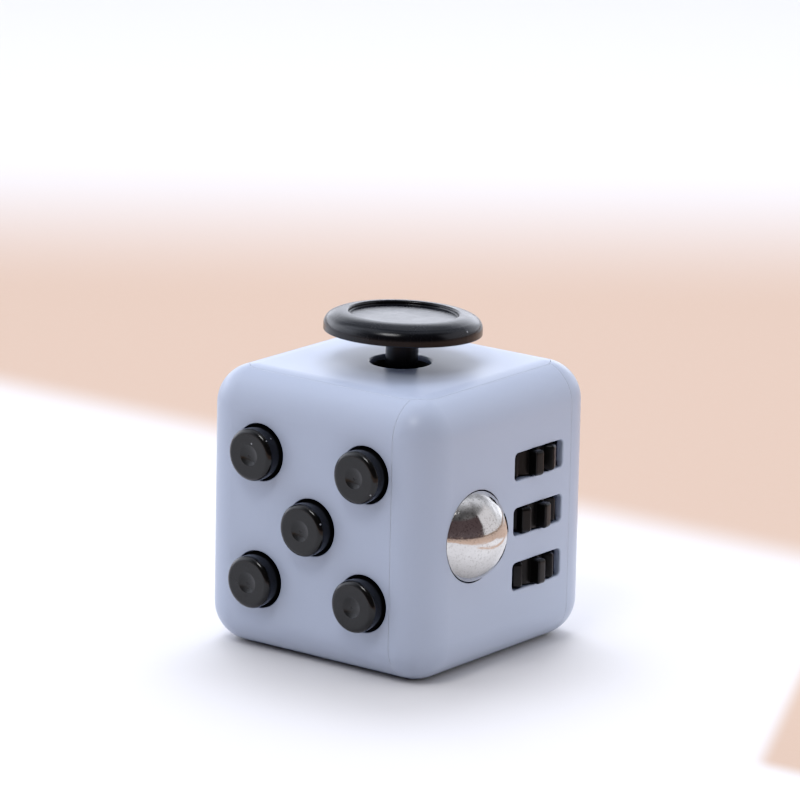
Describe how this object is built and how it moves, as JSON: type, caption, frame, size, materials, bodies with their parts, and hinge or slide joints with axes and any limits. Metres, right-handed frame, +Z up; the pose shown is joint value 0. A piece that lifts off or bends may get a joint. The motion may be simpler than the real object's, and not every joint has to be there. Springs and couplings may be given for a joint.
{
  "type": "fidget cube",
  "caption": "Pocket fidget cube with click buttons, a rolling ball, thumb gears, a joystick, a rocker switch, a spinning dial and a thumb dish.",
  "frame": {"origin": "centre of the flat bottom face, the face with the thumb dish", "axes": "+Z up towards the joystick, -Y towards the five click buttons, +X towards the ball and thumb gears"},
  "size_m": [0.0379, 0.0368, 0.0395],
  "materials": {
    "shell": "satin moulded ABS, pale grey-blue",
    "black_gloss": "polished black ABS",
    "cap_black": "satin black ABS",
    "gear_black": "moulded black acetal",
    "inner_black": "matt moulded black ABS",
    "liner_white": "natural acetal",
    "ball_chrome": "polished steel with fine scratches",
    "silicone": "translucent grey silicone",
    "spring_steel": "hardened spring steel",
    "bright_steel": "zinc plated steel"
  },
  "bodies": {
    "housing": {"glide_panel": "shell", "breathe_panel": "shell", "click_panel": "shell", "roll_panel": "shell", "flip_panel": "shell", "spin_panel": "shell", "click_dome_pad": "silicone", "click_snap_domes": "spring_steel", "click_backplate": "inner_black", "click_screws": "bright_steel", "ball_spring": "spring_steel", "gear_axle": "bright_steel", "roll_bracket": "inner_black", "roll_screws": "bright_steel", "joystick_socket": "inner_black", "joystick_retainer": "inner_black", "joystick_centring_pad": "silicone", "joystick_screws": "bright_steel", "switch_pin": "bright_steel", "switch_leaf_spring": "spring_steel", "flip_bracket": "inner_black", "flip_screws": "bright_steel", "dial_leaf_spring": "spring_steel"},
    "button_centre": {"click_button_centre": "black_gloss"},
    "button_upper_left": {"click_button_upper_left": "black_gloss"},
    "button_lower_left": {"click_button_lower_left": "black_gloss"},
    "button_upper_right": {"click_button_upper_right": "black_gloss"},
    "button_lower_right": {"click_button_lower_right": "black_gloss"},
    "ball_carrier": {"ball_carrier": "liner_white"},
    "ball": {"roll_ball": "ball_chrome"},
    "gear_top": {"roll_gear_top": "gear_black"},
    "gear_middle": {"roll_gear_middle": "gear_black"},
    "gear_bottom": {"roll_gear_bottom": "gear_black"},
    "joystick_liner": {"joystick_liner": "liner_white"},
    "joystick": {"joystick_stem": "cap_black", "joystick_cap": "cap_black"},
    "switch": {"flip_switch": "black_gloss"},
    "dial": {"spin_dial": "black_gloss", "dial_detent_wheel": "inner_black", "dial_washer": "bright_steel", "dial_screw": "bright_steel"}
  },
  "joints": [
    {"name": "button_centre_press", "type": "slide", "parent": "housing", "child": "button_centre", "axis": [0, 1, 0], "range_m": [0, 0.0009], "stiffness_N_per_m": 100, "springref_m": -0.0005, "deforming": ["click_dome_pad", "click_snap_domes"]},
    {"name": "button_upper_left_press", "type": "slide", "parent": "housing", "child": "button_upper_left", "axis": [0, 1, 0], "range_m": [0, 0.0009], "stiffness_N_per_m": 100, "springref_m": -0.0005, "deforming": ["click_dome_pad", "click_snap_domes"]},
    {"name": "button_lower_left_press", "type": "slide", "parent": "housing", "child": "button_lower_left", "axis": [0, 1, 0], "range_m": [0, 0.0009], "stiffness_N_per_m": 100, "springref_m": -0.0005, "deforming": ["click_dome_pad", "click_snap_domes"]},
    {"name": "button_upper_right_press", "type": "slide", "parent": "housing", "child": "button_upper_right", "axis": [0, 1, 0], "range_m": [0, 0.0009], "stiffness_N_per_m": 100, "springref_m": -0.0005, "deforming": ["click_dome_pad", "click_snap_domes"]},
    {"name": "button_lower_right_press", "type": "slide", "parent": "housing", "child": "button_lower_right", "axis": [0, 1, 0], "range_m": [0, 0.0009], "stiffness_N_per_m": 100, "springref_m": -0.0005, "deforming": ["click_dome_pad", "click_snap_domes"]},
    {"name": "ball_press", "type": "slide", "parent": "housing", "child": "ball_carrier", "axis": [-1, 0, 0], "range_m": [0, 0.0009], "stiffness_N_per_m": 300, "springref_m": -0.0005, "deforming": ["ball_spring"]},
    {"name": "ball_roll", "type": "hinge", "parent": "ball_carrier", "child": "ball", "pos_m": [0.01378, -0.00695, 0.0167], "axis": [0, 0, 1], "continuous": true},
    {"name": "gear_top_spin", "type": "hinge", "parent": "housing", "child": "gear_top", "pos_m": [0.0119, 0.00525, 0.0233], "axis": [0, 0, 1], "continuous": true},
    {"name": "gear_middle_spin", "type": "hinge", "parent": "housing", "child": "gear_middle", "pos_m": [0.0119, 0.00525, 0.0167], "axis": [0, 0, 1], "continuous": true},
    {"name": "gear_bottom_spin", "type": "hinge", "parent": "housing", "child": "gear_bottom", "pos_m": [0.0119, 0.00525, 0.0101], "axis": [0, 0, 1], "continuous": true},
    {"name": "joystick_tilt_x", "type": "hinge", "parent": "housing", "child": "joystick_liner", "pos_m": [0, 0, 0.0284], "axis": [1, 0, 0], "range_deg": [-8.75, 13.25], "stiffness_Nm_per_rad": 0.01, "deforming": ["joystick_centring_pad"]},
    {"name": "joystick_tilt_y", "type": "hinge", "parent": "joystick_liner", "child": "joystick", "pos_m": [0, 0, 0.0284], "axis": [0, 1, 0], "range_deg": [-11, 11], "stiffness_Nm_per_rad": 0.01, "deforming": ["joystick_centring_pad"]},
    {"name": "switch_flip", "type": "hinge", "parent": "housing", "child": "switch", "pos_m": [0, 0.0126, 0.0167], "axis": [1, 0, 0], "range_deg": [0, 16], "deforming": ["switch_leaf_spring"]},
    {"name": "dial_spin", "type": "hinge", "parent": "housing", "child": "dial", "pos_m": [-0.014, 0, 0.0167], "axis": [1, 0, 0], "continuous": true, "deforming": ["dial_leaf_spring"]}
  ]
}
